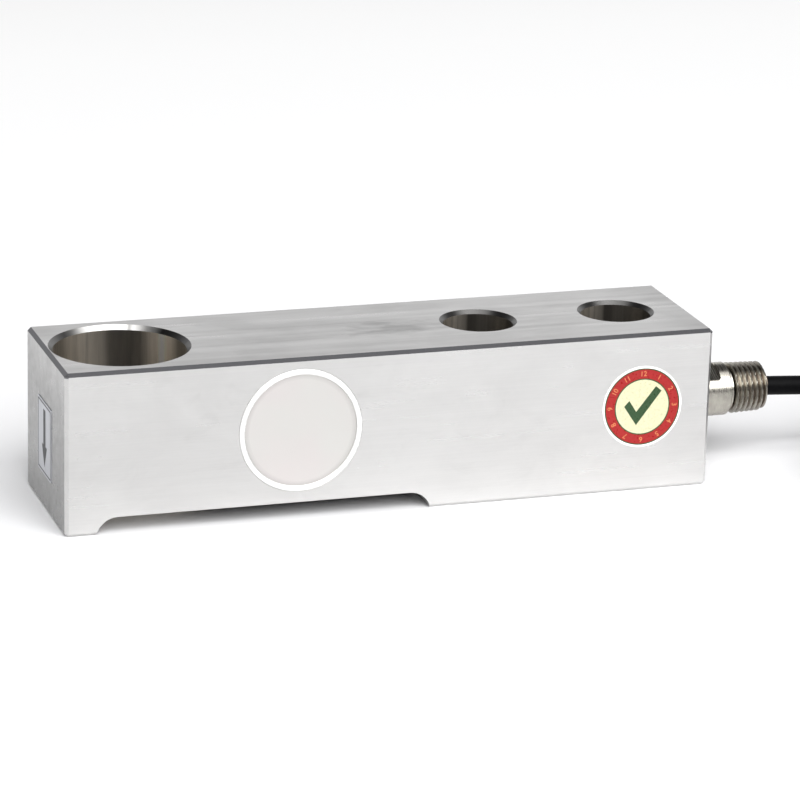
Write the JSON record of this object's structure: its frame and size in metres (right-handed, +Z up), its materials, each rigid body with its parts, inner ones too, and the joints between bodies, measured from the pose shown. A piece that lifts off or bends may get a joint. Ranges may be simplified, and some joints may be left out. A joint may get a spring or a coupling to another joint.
{
  "type": "single ended shear beam load cell",
  "caption": "Square steel beam that senses load by shear, with a load bore at one end, a bolt-down end, welded gauge pockets and a fixed cable.",
  "frame": {"origin": "centre of the two-bolt mounting pattern, on the bottom mounting face", "axes": "+X along the beam towards the cable end, +Z up, -Y towards the face with the round sticker"},
  "size_m": [0.3066, 0.1146, 0.0425],
  "materials": {
    "ground_steel": "ground",
    "cover_steel": "fine satin",
    "weld_steel": "bright bead",
    "turned_steel": "turned",
    "gauge_film": "satin film",
    "gauge_foil": "etched foil",
    "board_laminate": "satin",
    "copper_pads": "bright",
    "resistor_ceramic": "matte",
    "wire_jacket": "satin",
    "potting_resin": "gloss",
    "grommet_rubber": "matte",
    "label_foil": "satin",
    "sticker_film": "gloss",
    "cable_jacket": "satin",
    "tie_plastic": "satin",
    "sleeve_plastic": "satin",
    "red_insulation": "satin",
    "black_insulation": "satin",
    "green_insulation": "satin",
    "white_insulation": "satin",
    "tinned_copper": "tinned"
  },
  "bodies": {
    "root": {"beam_body": "ground_steel", "duct_plug": "ground_steel", "front_cavity_cover": "cover_steel", "rear_cavity_cover": "cover_steel", "front_cover_weld": "weld_steel", "rear_cover_weld": "weld_steel", "front_gauge_film": "gauge_film", "rear_gauge_film": "gauge_film", "front_gauge_grids": "gauge_foil", "rear_gauge_grids": "gauge_foil", "front_terminal_strip": "board_laminate", "rear_terminal_strip": "board_laminate", "front_terminal_pads": "copper_pads", "rear_terminal_pads": "copper_pads", "front_gauge_leads": "copper_pads", "rear_gauge_leads": "copper_pads", "balance_board": "board_laminate", "balance_resistors": "resistor_ceramic", "bridge_wires": "wire_jacket", "cross_wires": "wire_jacket", "conduit_adapter": "turned_steel", "adapter_weld": "weld_steel", "entry_potting": "potting_resin", "grommet_washer": "turned_steel", "cable_grommet": "grommet_rubber", "load_direction_label": "label_foil", "round_sticker": "sticker_film", "cable": "cable_jacket", "cable_tail": "cable_jacket", "cable_coil": "cable_jacket", "coil_ties": "tie_plastic", "cable_end_sleeve": "sleeve_plastic", "red_lead": "red_insulation", "black_lead": "black_insulation", "green_lead": "green_insulation", "white_lead": "white_insulation", "shield_drain": "tinned_copper", "tinned_tips": "tinned_copper"}
  },
  "joints": []
}
